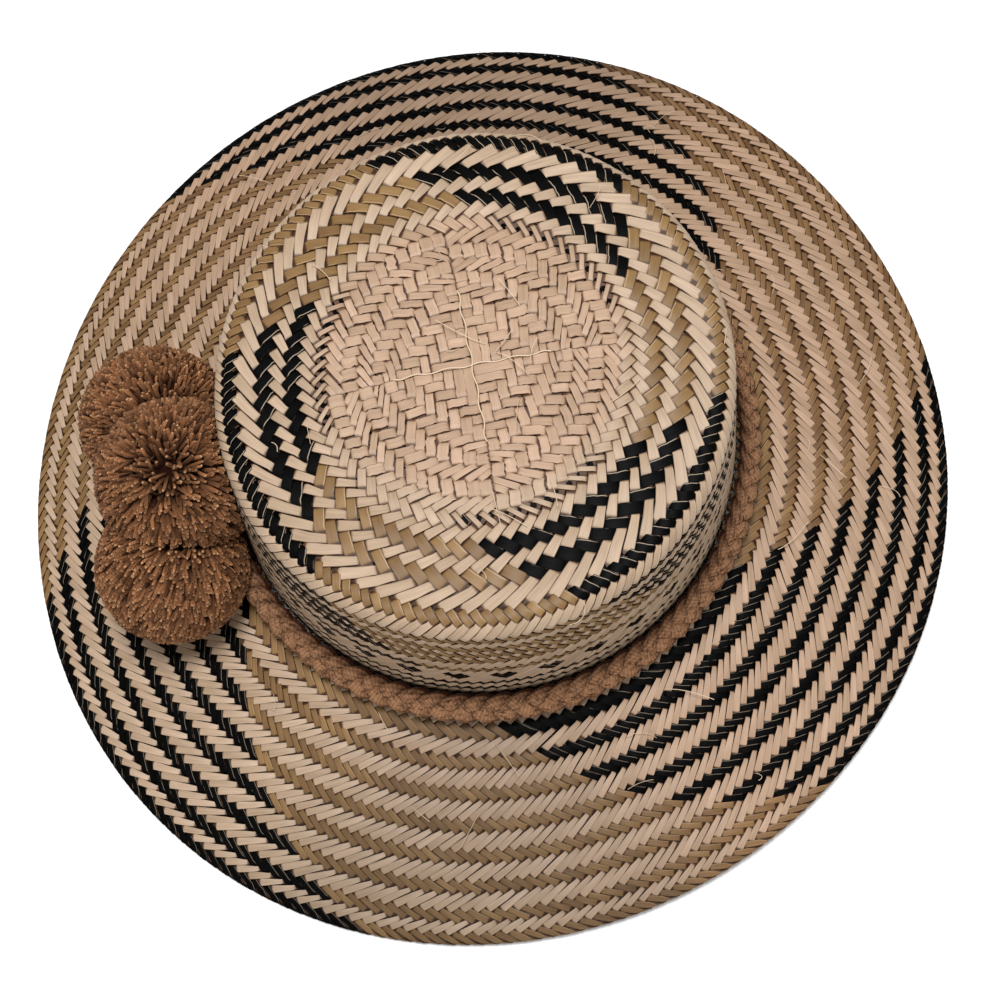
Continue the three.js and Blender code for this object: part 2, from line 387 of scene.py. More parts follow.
# The zones from the inside out; a band is the family on top, its levels and its width
TOP_BANDS = (
    (PLAIN, 1, 2.8), (DYED, 2, 4.6), (PLAIN, 2, 4.9), (DYED, 2, 4.9), (PLAIN, 2, 4.9),
    (DYED, 2, 5.0), (PLAIN, 3, 7.4), (DYED, 1, 2.2),
)
SIDE_BANDS = (
    (PLAIN, 1, 2.2), (DYED, 2, 4.8), (PLAIN, 3, 6.9), (DYED, 2, 3.4), (PLAIN, 2, 4.3),
    (DYED, 2, 4.3), (PLAIN, 1, 2.1), (DYED, 2, 4.3), (PLAIN, 1, 2.1), (DYED, 2, 4.3),
    (PLAIN, 3, 6.3), (DYED, 2, 2.8), (PLAIN, 7, 13.2), (DYED, 2, 1.9), (PLAIN, 2, 4.0),
    (DYED, 2, 1.9), (PLAIN, 2, 4.6), (DYED, 2, 4.4),
)
FOOT_BANDS = ((DYED, 1, 1.8), (PLAIN, 4, 6.8), (DYED, 3, 4.8), (PLAIN, 4, 6.2), (DYED, 1, 1.6))
RING_WIDTHS = (10.8, 10.7, 10.4, 10.2, 9.8)
RING_DYED = 0.376  # the dyed band's share of a ring
OUTER_BANDS = ((DYED, 3, 3.5), (PLAIN, 3, 4.2), (DYED, 3, 3.4), (DYED, 5, HEM))
CENTRE_LEVELS = 18
CENTRE_RADIUS = 49.6
TOP_START = 48.1
SIDE_START = TOP_START + sum(band[2] for band in TOP_BANDS[:-1]) - SIDE_BANDS[0][2]
RING_START = 106.6  # the first ring's inner radius
SPOTS = (4, 25, 27)  # a black lozenge every four strips, with its first and last level
CROWN_SKEW = (2.3, 161.0)  # how far the strips are turned off an even spread, and where most, in degrees
BRIM_SKEW = (3.85, 177.0)
BRIM_LEAD = 1.6  # the natural row inside the first ring
TIP_WIDTH, TIP_SHIFT = 0.5, 0.36  # the black inner ends, as shares of a strip's width
TIP_DEPTH, TIP_LIFT, TIP_MARGIN = 0.36, 0.2, 0.4

TOP = Zone(72, TOP_START, TOP_BANDS, 5.25, 273.4, CROWN_SKEW, wedge=0.55)
SIDE = Zone(144, SIDE_START, SIDE_BANDS, 1.7, 293.8, CROWN_SKEW, spots=SPOTS, wedge=0.6)
FOOT_START = brim_length(RING_START) - FOOT_BANDS[0][2] - FOOT_BANDS[1][2]
FOOT = Zone(144, FOOT_START, FOOT_BANDS, 6, 274.4, BRIM_SKEW)
RINGS = ()
for ring_width in RING_WIDTHS:
    RINGS += ((DYED, 3, ring_width * RING_DYED), (PLAIN, 4, ring_width * (1 - RING_DYED)))
BRIM_START = brim_length(RING_START + FOOT_BANDS[2][2] + FOOT_BANDS[3][2])
BRIM_BANDS = ((PLAIN, 1, BRIM_LEAD),) + RINGS + OUTER_BANDS
BRIM = Zone(216, BRIM_START - BRIM_LEAD, BRIM_BANDS, 2, 281.2, BRIM_SKEW)


def dyes(zone, stations):
    """The material of each dyed strip: three groups of black ones and three of olive ones."""
    group = np.arange(zone.count) % (zone.count // 3)
    black = group < zone.count // 6
    return np.repeat(np.where(black, BLACK, OLIVE)[:, None], stations, 1)


def plait(zone, family, first, last, fill, rng, strips, natural_until=None):
    """Adds a family's strips with their dyes; natural_until is the level where the dye starts."""
    centre, side, normal, width, levels, lift = sweep(zone, family, first, last, fill, rng)
    if family == PLAIN:
        slot = np.zeros((zone.count, len(levels)), int)
    else:
        slot = dyes(zone, len(levels))
        if natural_until is not None:
            slot[:, levels < natural_until] = NATURAL
            tips = (slot[:, -1:] == BLACK) & (levels[None, :] < natural_until - TIP_MARGIN)
            width = np.where(tips, width * TIP_WIDTH, width)
        if zone.spots is not None:
            every, low, high = zone.spots
            spotted = (np.arange(zone.count) % every < 2)[:, None]
            slot[spotted & (levels > low - 1) & (levels < high + 1)] = BLACK
            slot[:, levels > high + 2] = BLACK
    strips.add(centre, side, normal, width, rng.random(zone.count), slot, lift)


def black_tips(strips, rng):
    """The black strips' inner ends, which show between the natural strips that cover them."""
    centre, side, normal, width, levels, lift = sweep(TOP, DYED, 1, 2, 1.0, rng)
    black = dyes(TOP, 1)[:, 0] == BLACK
    centre = centre + side * (width * TIP_SHIFT)[..., None] - normal * TIP_DEPTH
    tone = rng.random(int(black.sum()))
    lift = np.full_like(lift[black], TIP_LIFT)
    strips.add(centre[black], side[black], normal[black], width[black], tone, BLACK, lift)


# The square plait in the middle of the top
ARM_TURN = (TOP.phase - TOP.pitch / 2) % TOP.pitch + 2 * TOP.pitch
CROSS_LEVELS = 4  # the counterclockwise family stays on top up to this level, which makes the pinwheel
SQUARE_PITCH = 3.5
SQUARE_LEVELS, ROUND_LEVELS = 5.0, 14.0
CENTRE_CHANGES = (0.8, 0.5, 0.2)  # stations before a crossing where a strip changes sides
CENTRE_OVERRUN, CENTRE_FILL = 0.4, 0.94
CENTRE_TANGENT, CENTRE_ACROSS = 0.2, 0.25  # lattice steps for a strip's direction and its room
CENTRE_WIDTH_SPREAD, CENTRE_DRIFT_SPREAD, CENTRE_WANDER = 0.08, 0.05, 0.04


def centre_point(u, v):
    """A lattice point of the centre: square in the middle, and rings of diamonds further out."""
    level = np.abs(u) + np.abs(v)
    radius = np.hypot(u, v)
    plain_angle = np.arctan2(v, u)
    quarter = np.floor(plain_angle / UP + 1e-9)
    turned = plain_angle - quarter * UP
    first, second = radius * np.cos(turned), radius * np.sin(turned)
    ring_angle = (quarter + second / np.maximum(first + second, 1e-9)) * UP
    ring_radius = level * CENTRE_RADIUS / CENTRE_LEVELS
    share = np.clip((level - SQUARE_LEVELS) / (ROUND_LEVELS - SQUARE_LEVELS), 0, 1)
    share = share * share * (3 - 2 * share)
    x = (1 - share) * u * SQUARE_PITCH + share * ring_radius * np.cos(ring_angle)
    y = (1 - share) * v * SQUARE_PITCH + share * ring_radius * np.sin(ring_angle)
    angle = np.arctan2(y, x) + ARM_TURN
    size, peak = TOP.skew
    angle = angle + size * np.cos(angle - peak) * np.clip(level / CENTRE_LEVELS, 0, 1) ** 2
    point, normal = straw_point(np.hypot(x, y), angle)
    return point, normal


def dyed_over(u, v):
    """Whether the family that leans counterclockwise is on top at a crossing of the centre."""
    level = round(abs(u) + abs(v))
    return level <= CROSS_LEVELS or (level - CROSS_LEVELS - 1) % 4 >= 2


def along_v(u, v):
    """Whether the counterclockwise family runs along v at a crossing."""
    return u * v > 0


def centre_strip(line, upright):
    """One strip of the centre from end to end: its lattice places and its height at each."""
    ends = []
    for sign in (-1, 1):
        u, v = (line, sign) if upright else (sign, line)
        last = CENTRE_LEVELS if along_v(u, v) == upright else CENTRE_LEVELS + 1
        ends.append(sign * (last - abs(line)))
    steps = np.arange(ends[0], ends[1] + 0.5)
    over = []
    for step in steps:
        u, v = (line, step) if upright else (step, line)
        over.append(1.0 if dyed_over(u, v) == (along_v(u, v) == upright) else -1.0)
    places, heights = [ends[0] - CENTRE_OVERRUN], [over[0]]
    for k, step in enumerate(steps):
        if k and over[k] == over[k - 1]:
            places.append(step - 0.5)
            heights.append(over[k])
        elif k:
            places += [step - before for before in CENTRE_CHANGES]
            heights += [over[k - 1], 0.0, over[k]]
        places.append(step)
        heights.append(over[k])
    places.append(ends[1] + CENTRE_OVERRUN)
    heights.append(over[-1])
    return np.array(places), np.array(heights)


def centre(strips, rng):
    """The strips of the square plait, line by line along both directions of its lattice."""
    for upright in (False, True):
        for line in np.arange(0.5 - CENTRE_LEVELS, CENTRE_LEVELS):
            places, heights = centre_strip(line, upright)
            lines = np.full_like(places, line)

            def spot(step=0.0, shift=0.0):
                u, v = (lines + shift, places + step) if upright else (places + step, lines + shift)
                return centre_point(u, v)

            point, normal = spot()
            tangent = spot(CENTRE_TANGENT)[0] - spot(-CENTRE_TANGENT)[0]
            across = (spot(0, CENTRE_ACROSS)[0] - spot(0, -CENTRE_ACROSS)[0]) / (2 * CENTRE_ACROSS)
            side = unit(np.cross(normal, tangent))
            room = np.abs(np.sum(across * side, -1))
            width = room * CENTRE_FILL * (1 + CENTRE_WIDTH_SPREAD * rng.standard_normal())
            lift = heights * RISE + HEIGHT_SPREAD * rng.standard_normal()
            drift = CENTRE_DRIFT_SPREAD * rng.standard_normal()
            drift = (drift + CENTRE_WANDER * rng.standard_normal(len(room))) * room
            middle = point + side * drift[:, None] + normal * lift[:, None]
            row = [part[None] for part in (middle, side, normal, width)]
            strips.add(*row, rng.random(1), NATURAL, heights[None])


# The braided band
BRAID_RADIUS, BRAID_HEIGHT, BRAID_LEAN = 102.4, 24.4, math.radians(43)
LEAN_COS, LEAN_SIN = math.cos(BRAID_LEAN), math.sin(BRAID_LEAN)
BRAID_WIDTH, BRAID_THICK = 12.5, 5.0
BRAID_TURNS = 29
BRAID_SWING = 2.9  # how far a strand runs out to each side of the band's middle
STRAND_WIDTH, STRAND_THICK = 5.6, 2.7
STRAND_CORNERS, STRAND_PLIES, PLY_DEPTH, PLY_TWIST = 22, 7, 0.09, 3.0
BRAID_STATIONS = 18 * BRAID_TURNS
BRAID_TONE = 0.1
# A strand's painted shade from 0, darkest, to 1: its middle's, what height, a ply and the way from the crown
# add, and the most; so it is darker low in the band, in a ply's grooves and near the crown
DEPTH_MIDDLE, DEPTH_PER_MM, DEPTH_PLY, DEPTH_WALL, WALL_END, DEPTH_MOST = 0.5, 0.1, 0.06, 0.35, 0.55, 0.95
FUZZ_HAIRS, FUZZ_THICK = 4200, 0.22
FUZZ_RUN, FUZZ_TURN = (0.004, 0.02), 0.4  # a hair's way round the hat and round its strand, in radians
FUZZ_LIFT, FUZZ_STRAY, FUZZ_CORNERS, FUZZ_DEPTH = (0.15, 0.6), 0.25, 3, 0.05


def braid_point(across, above, angle):
    radius = BRAID_RADIUS + across * LEAN_COS + above * LEAN_SIN
    height = BRAID_HEIGHT - across * LEAN_SIN + above * LEAN_COS
    return place(radius, height, angle)


def strand_point(strand, angle, around):
    """A point on a strand's surface, and its painted shade from 0 deep in the band to 1 on its face."""
    turn = angle * BRAID_TURNS + strand * 2 * math.pi / 3
    across = BRAID_SWING * np.sin(turn)
    above = (BRAID_THICK - STRAND_THICK) / 2 * np.sin(2 * turn)
    tilt = np.arctan(BRAID_SWING * np.cos(turn) * BRAID_TURNS / BRAID_RADIUS)
    ply = np.cos(STRAND_PLIES * around + PLY_TWIST * turn)
    lobes = 1 + PLY_DEPTH * ply
    wide = STRAND_WIDTH / 2 * np.cos(around) * lobes
    tall = STRAND_THICK / 2 * np.sin(around) * lobes
    step = -wide * np.sin(tilt) / BRAID_RADIUS
    wall = np.clip((across + wide * np.cos(tilt)) / BRAID_WIDTH + 0.5, 0, 1)
    depth = DEPTH_MIDDLE + DEPTH_PER_MM * (above + tall) + DEPTH_PLY * ply
    depth = np.minimum(depth + DEPTH_WALL * np.minimum(wall, WALL_END), DEPTH_MOST)
    return braid_point(across + wide * np.cos(tilt), above + tall, angle + step), depth


def braid(materials):
    angle = round_angles(BRAID_STATIONS)[None, :, None]
    around = np.linspace(2 * math.pi, 0, STRAND_CORNERS, endpoint=False)
    ring, depth = strand_point(np.arange(3)[:, None, None], angle, around)
    sides, _, _ = tubes(ring, closed=True)
    u = np.broadcast_to(angle * BRAID_RADIUS, ring.shape[:3])
    v = np.broadcast_to(around / (2 * math.pi), ring.shape[:3])
    uv = np.stack([u, v], -1).reshape(-1, 2)
    tone = np.full(ring.shape[:3], BRAID_TONE)
    faces, points = [(sides.reshape(-1, 4), 0)], ring.reshape(-1, 3)
    return add_mesh("wool_braid", points, faces, materials, BRAID_SHARP, uv, tone=tone, depth=depth)


def fuzz(rng, materials):
    """Short hairs that stand off the braid along its strands."""
    strand = rng.integers(0, 3, FUZZ_HAIRS)
    angle = rng.uniform(0, 2 * math.pi, FUZZ_HAIRS)
    around = rng.uniform(0, math.pi, FUZZ_HAIRS)
    run = rng.uniform(*FUZZ_RUN, FUZZ_HAIRS)
    start, depth = strand_point(strand, angle, around)
    middle, _ = strand_point(strand, angle + run / 2, around + FUZZ_TURN / 2)
    end, _ = strand_point(strand, angle + run, around + FUZZ_TURN)
    up = np.full(FUZZ_HAIRS, LEAN_COS)
    out = np.stack([np.cos(angle) * LEAN_SIN, np.sin(angle) * LEAN_SIN, up], -1)
    stray = FUZZ_STRAY * rng.standard_normal((FUZZ_HAIRS, 3))
    lift = rng.uniform(*FUZZ_LIFT, (FUZZ_HAIRS, 1))
    paths = np.stack([start, middle + out * lift * 0.8 + stray * 0.5, end + out * lift + stray], 1)
    thick = np.full(FUZZ_HAIRS, FUZZ_THICK)
    # Each hair takes its strand's painted shade, a little lighter
    depth = np.repeat(depth + FUZZ_DEPTH, paths.shape[1] * FUZZ_CORNERS)
    return fibre_mesh("wool_braid_fuzz", paths, thick, materials, FUZZ_CORNERS, depth)


# The pompoms
POMPOMS = (  # name, middle, radius and the direction that the tied end looks to
    ("pompom_upper", (-120.0, 1.0, 36.0), 28.0, (0.45, -0.5, 1.0)),
    ("pompom_middle", (-105.0, -29.5, 55.0), 28.7, (0.1, -0.25, 1.0)),
    ("pompom_lower", (-110.0, -55.5, 35.0), 27.0, (0.4, 0.35, 1.0)),
)
YARNS = 3500
YARN_THICK = 1.4
YARN_CORNERS = 4
YARN_SHARES = np.array([0.0, 0.5, 0.95, 1.0])  # how far along its way a yarn's station lies
YARN_HEIGHTS = np.array([0.56, 0.9, 0.995, 1.01])  # and how far out, as a share of its length
YARN_SWELL = np.array([0.6, 0.95, 1.0, 0.6])
YARN_FAN = 1.9  # how far the yarns lean away from where the pompom is tied
PART, PART_EDGE, PART_LEFT = 0.93, 0.72, 0.45  # where the tips part round the tie, and the share left there
YARN_SPREAD, YARN_BEND, TIE_SPREAD, THICK_SPREAD, LENGTH_SPREAD = 0.03, 0.035, 0.12, 0.1, 0.03
GUIDE_SPREAD = 0.3  # how differently their sections are turned
YARN_SHORTEST = 0.45  # the least reach of a yarn, as a share of the radius
YARN_STRETCH, YARN_APART = 0.7, 300.0  # its pattern's stretch, and how far two patterns lie apart
CORE = 0.84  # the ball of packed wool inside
CORE_ROWS, CORE_COLUMNS, CORE_END, CORE_TONE = 18, 30, 0.97, 0.5
GAP = 0.4  # from the yarns' middle lines to the straw and the braid
REACH_STEPS = 40


def crown_out(points):
    """How far points lie outside the crown's side and above the brim, with their radius and height."""
    local = points - SHIFT
    lift = np.clip((local[..., 2] - BRIM_ROOT_HEIGHT) / (TOP_HEIGHT - RIDGE_ROUND - BRIM_ROOT_HEIGHT), 0, 1)
    x, y = local[..., 0] - RIDGE_SHIFT[0] * lift, local[..., 1] - RIDGE_SHIFT[1] * lift
    radius, angle = np.hypot(x, y), np.arctan2(y, x)
    share = np.clip((radius - FOOT_RADIUS) / (BRIM_RADIUS - FOOT_RADIUS), 0, 1)
    radius = radius - outline_reach(angle, share)
    wall = RIDGE_RADIUS + (FOOT_RADIUS - RIDGE_RADIUS) * (1 - lift)
    return radius - wall, local[..., 2] - brim_height(radius), radius, local[..., 2]


def free(points, centre, radius, others):
    """Whether points are clear of the straw, the braid and the neighbouring pompoms' halves."""
    out, above, around, height = crown_out(points)
    clear = (out > GAP) & (above > GAP)
    across = (around - BRAID_RADIUS) * LEAN_COS - (height - BRAID_HEIGHT) * LEAN_SIN
    over = (around - BRAID_RADIUS) * LEAN_SIN + (height - BRAID_HEIGHT) * LEAN_COS
    clear &= ~((np.abs(across) < BRAID_WIDTH / 2 + GAP) & (np.abs(over) < BRAID_THICK / 2 + GAP))
    for other, size in others:
        apart = np.linalg.norm(other - centre)
        half = (apart * apart + radius * radius - size * size) / (2 * apart)
        clear &= (points - centre) @ ((other - centre) / apart) < half - GAP / 2
    return clear


def free_reach(centre, directions, radius, others):
    """How far each direction stays clear from the pompom's middle, as a share of its radius."""
    steps = np.linspace(0.0, 1.0, REACH_STEPS + 1)[1:]
    points = centre + directions[:, None] * (steps * radius)[None, :, None]
    clear = np.cumprod(free(points, centre, radius, others), axis=1)
    return clear.sum(1) / len(steps)


def sphere_directions(count):
    k = np.arange(count) + 0.5
    height = 1 - 2 * k / count
    turn = k * math.pi * (3 - math.sqrt(5))
    flat = np.sqrt(1 - height * height)
    return np.stack([flat * np.cos(turn), flat * np.sin(turn), height], 1)


def pompom_core(centre, radius, others):
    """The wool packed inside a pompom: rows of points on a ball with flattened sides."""
    turn = round_angles(CORE_COLUMNS)
    rise = np.linspace(-UP * CORE_END, UP * CORE_END, CORE_ROWS)[:, None]
    flat = np.cos(rise)
    height = np.broadcast_to(np.sin(rise), (CORE_ROWS, CORE_COLUMNS))
    grid = np.stack([flat * np.cos(turn), flat * np.sin(turn), height], -1)
    reach = free_reach(centre, grid.reshape(-1, 3), radius, others).reshape(CORE_ROWS, CORE_COLUMNS)
    return centre + grid * (np.minimum(reach, CORE) * radius)[..., None]


def pompom(name, centre, radius, tied, others, rng, materials):
    """Cut yarns that fan out from where the pompom is tied, round a ball of packed wool painted dark as
    shade.
    """
    tie = unit(np.array(tied))
    tips = unit(sphere_directions(YARNS) + YARN_SPREAD * rng.standard_normal((YARNS, 3)))
    reach = free_reach(centre, tips, radius, others)
    facing = tips @ tie
    thinned = np.clip((facing - PART_EDGE) / (PART - PART_EDGE), 0, 1)
    kept = (reach > YARN_SHORTEST) & (rng.random(YARNS) > thinned * (1 - PART_LEFT))
    tips, reach = tips[kept], reach[kept]
    count = len(tips)
    length = np.minimum(reach, 1 + LENGTH_SPREAD * rng.standard_normal(count)) * radius
    axis = tie + TIE_SPREAD * rng.standard_normal((count, 3))
    roots = unit(tips + YARN_FAN * axis)
    share = YARN_SHARES[None, :, None]
    ways = unit(roots[:, None] * (1 - share) + tips[:, None] * share)
    bend = YARN_BEND * rng.standard_normal((count, 3))
    ways = ways * YARN_HEIGHTS[None, :, None] + bend[:, None] * share * (1 - share) * 4
    paths = centre + length[:, None, None] * ways
    guide = tips[:, None] + GUIDE_SPREAD * rng.standard_normal((count, 1, 3))
    thick = YARN_THICK / 2 * YARN_SWELL[None, :, None, None]
    thick = thick * (1 + THICK_SPREAD * rng.standard_normal((count, 1, 1, 1)))
    ring = round_yarn(paths, guide, YARN_CORNERS, thick)
    sides, start, end = tubes(ring)
    # The share along each yarn, which the wool paints from shade at the root to light at the tip
    depth = np.broadcast_to(share[..., None], ring.shape[:3] + (1,))[..., 0]
    tone = np.broadcast_to(rng.random(count)[:, None, None], ring.shape[:3])
    u = depth * radius * YARN_STRETCH + tone * YARN_APART
    v = np.broadcast_to(np.arange(YARN_CORNERS) / YARN_CORNERS, u.shape)
    core = pompom_core(centre, radius, others)
    core_faces = [face.reshape(-1, face.shape[-1])[:, ::-1] + depth.size for face in tubes(core[None])]
    points = np.concatenate([ring.reshape(-1, 3), core.reshape(-1, 3)])
    faces = [(sides.reshape(-1, 4), 0), (start, 0), (end, 0)] + [(face, 0) for face in core_faces]
    inner = CORE_ROWS * CORE_COLUMNS
    uv = np.concatenate([np.stack([u, v], -1).reshape(-1, 2), np.zeros((inner, 2))])
    # The ball gets depth 0, which the wool paints in its darkest painted shade
    depth = np.concatenate([depth.ravel(), np.zeros(inner)])
    tone = np.concatenate([tone.ravel(), np.full(inner, CORE_TONE)])
    return add_mesh(name + "_yarns", points, faces, materials, YARN_SHARP, uv, tone=tone, depth=depth)


# Loose ends
THREAD_LEVELS = 8.5  # how many levels a thread runs to each side of the middle
THREAD_THICK, THREAD_POINTS, THREAD_CORNERS = 0.5, 36, 6
THREAD_WAVE, THREAD_WAVES = 0.12, 1.9
THREAD_LIFT, THREAD_OVER = 0.12, 0.2  # above the solid's face, and the second thread above the first
LOOSE_FIBRES, LOOSE_POINTS, LOOSE_BOW = 60, 7, 0.35
CROWN_FIBRES = 0.35  # the share of the loose fibres on the crown
CROWN_SPAN, BRIM_SPAN = (5, 90), (FOOT_LENGTH + 8, EDGE_LENGTH - 20)  # where they start on the upper face
LOOSE_LENGTH, LOOSE_THICK, LOOSE_LIFT = (5, 13), (0.15, 0.3), (0.05, 0.2)
FIBRE_GUIDE = (0.3, 0.2, 1.0)  # a way that no fibre runs


def fibre_mesh(name, paths, thick, materials, corners=4, depth=0.0):
    """Thin round fibres along rows of points, with a thickness in mm for each row."""
    ring = round_yarn(paths, np.array(FIBRE_GUIDE), corners, (thick / 2)[:, None, None, None])
    sides, start, end = tubes(ring)
    faces = [(sides.reshape(-1, 4), 0), (start, 0), (end, 0)]
    uv = np.full((ring.size // 3, 2), 0.5)
    ones = np.ones(len(uv))
    floats = {"tone": ones, "lift": ones, "depth": ones * depth}
    return add_mesh(name, ring.reshape(-1, 3), faces, materials, YARN_SHARP, uv, **floats)


def threads(materials):
    """Two threads along the cross where the four quarters of the centre meet."""
    steps = np.linspace(-THREAD_LEVELS, THREAD_LEVELS, THREAD_POINTS)
    wave = THREAD_WAVE * np.sin(steps * THREAD_WAVES)
    paths = []
    for across in (False, True):
        u, v = (wave, steps) if across else (steps, wave)
        point, normal = centre_point(u, v)
        paths.append(point + normal * (MIDDLE_DEPTH + THREAD_LIFT + THREAD_OVER * across))
    thick = np.full(len(paths), THREAD_THICK)
    return fibre_mesh("straw_cross_threads", np.stack(paths), thick, materials, THREAD_CORNERS)


def loose_fibres(rng, materials):
    """A few split straw fibres that stand off the plait."""
    on_crown = rng.random(LOOSE_FIBRES) < CROWN_FIBRES
    crown = rng.uniform(*CROWN_SPAN, LOOSE_FIBRES)
    along = np.where(on_crown, crown, rng.uniform(*BRIM_SPAN, LOOSE_FIBRES))
    angle = rng.uniform(0, 2 * math.pi, LOOSE_FIBRES)
    start, normal = straw_point(along, angle, 0.1)
    lean = unit(rng.standard_normal((LOOSE_FIBRES, 3)) * (1, 1, 0.1))
    length = rng.uniform(*LOOSE_LENGTH, LOOSE_FIBRES)[:, None]
    share = np.linspace(0, 1, LOOSE_POINTS)[None, :, None]
    bow = LOOSE_BOW * rng.standard_normal((LOOSE_FIBRES, 3)) * (1, 1, 0)
    lift = rng.uniform(*LOOSE_LIFT, LOOSE_FIBRES)[:, None, None]
    rise = normal[:, None] * 4 * share * (1 - share * 0.6) * lift
    paths = start[:, None] + length[:, None] * (lean[:, None] * share + bow[:, None] * share**2 + rise)
    return fibre_mesh("straw_loose_fibres", paths, rng.uniform(*LOOSE_THICK, LOOSE_FIBRES), materials)


# Materials
class Nodes:
    """Short calls for one material's node tree."""

    def __init__(self, name):
        self.material = bpy.data.materials.new(name)
        self.material.use_nodes = True
        self.tree = self.material.node_tree
        self.shader = self.tree.nodes["Principled BSDF"]

    def add(self, kind, inputs=(), **settings):
        made = self.tree.nodes.new("ShaderNode" + kind)
        for label, value in settings.items():
            setattr(made, label, value)
        for label, value in dict(inputs).items():
            self.feed(made, label, value)
        return made

    def feed(self, target, label, value):
        if isinstance(value, bpy.types.NodeSocket):
            self.tree.links.new(value, target.inputs[label])
        else:
            target.inputs[label].default_value = value

    def math(self, operation, first, second=0.0):
        return self.add("Math", {0: first, 1: second}, operation=operation).outputs[0]

    def times(self, first, second):
        return self.math("MULTIPLY", first, second)

    def blend_sum(self, *terms, offset=0.0):
        """The sum of values, each times its weight, and an offset."""
        total = offset
        for value, weight in terms:
            made = self.add("Math", {0: value, 1: weight, 2: total}, operation="MULTIPLY_ADD")
            total = made.outputs[0]
        return total

    def span(self, value, low, high):
        """0 where a value is at low and 1 where it is at high, with soft ends."""
        turned = low > high
        first, last = (high, low) if turned else (low, high)
        to = {"To Min": 1.0, "To Max": 0.0} if turned else {}
        inputs = {"Value": value, "From Min": first, "From Max": last} | to
        return self.add("MapRange", inputs, interpolation_type="SMOOTHSTEP").outputs["Result"]

    def mix(self, share, first, second, blend="MIX"):
        made = self.add("Mix", data_type="RGBA", blend_type=blend)
        self.feed(made, 0, share)
        self.feed(made, 6, first)
        self.feed(made, 7, second)
        return made.outputs[2]

    def ramp(self, value, stops):
        made = self.add("ValToRGB", {"Fac": value})
        ramp = made.color_ramp
        while len(ramp.elements) < len(stops):
            ramp.elements.new(0.5)
        for element, (position, colour) in zip(ramp.elements, stops):
            element.position, element.color = position, colour
        return made.outputs["Color"]

    def attribute(self, name):
        return self.add("Attribute", attribute_name=name).outputs["Fac"]

    def strip(self, along, across):
        """The strip's own coordinates, scaled: along it in mm, and across it from 0 to 1."""
        uv = self.add("UVMap", uv_map="strip").outputs["UV"]
        return self.add("VectorMath", {0: uv, 1: (along, across, 1.0)}, operation="MULTIPLY").outputs[0]

    def noise(self, vector, scale, detail=3.0):
        return self.add("TexNoise", {"Vector": vector, "Scale": scale, "Detail": detail}).outputs["Fac"]

    def bump(self, height, strength, distance):
        made = self.add("Bump", {"Height": height, "Strength": strength, "Distance": distance})
        self.feed(self.shader, "Normal", made.outputs["Normal"])

    def place(self):
        return self.add("NewGeometry").outputs["Position"]

    def separate(self, vector):
        return self.add("SeparateXYZ", {"Vector": vector}).outputs


def srgb(red, green, blue):
    """A colour as it looks on a screen, 0 to 255, as linear light."""
    parts = [c / 255 for c in (red, green, blue)]
    return tuple(c / 12.92 if c <= 0.04045 else ((c + 0.055) / 1.055) ** 2.4 for c in parts) + (1.0,)


# Painted shade along each strip's sides, where neighbouring strips shade each other
RIM_PAINTED_SHADE = (0.34, 0.26, 0.21, 1.0)
# Painted shade in the crevices where a strip runs under another
CREVICE_PAINTED_SHADE = (0.2, 0.13, 0.09, 1.0)
NO_LIGHT = (0.0, 0.0, 0.0, 1.0)
STRAW_ROUGHNESS = 0.4
# Where the straw's looks start and end to change: places in metres, then shares
TO_CROWN, TO_RINGS = (0.112, 0.096), (0.047, 0.056)  # radii
# TO_ENDS spans the painted shade on the brim's front and back
TO_CORNER, TO_ENDS = (0.02, 0.2), (0.04, 0.12)  # to the front left, and to the brim's front and back
TO_RIM, TO_TOP = (0.42, 0.5), (-0.3, 0.6)  # to a strip's edges, and to where it is on top
# The pale line is the dyed strips' undyed edge; on the black strips it is also a painted highlight
LINE_PLACE, LINE_SWAY = 0.74, 0.3  # where the pale line runs across a strip, and how far it strays
LINE_EDGE, LINE_STRIPS = (0.06, 0.02), (0.82, 1.08)


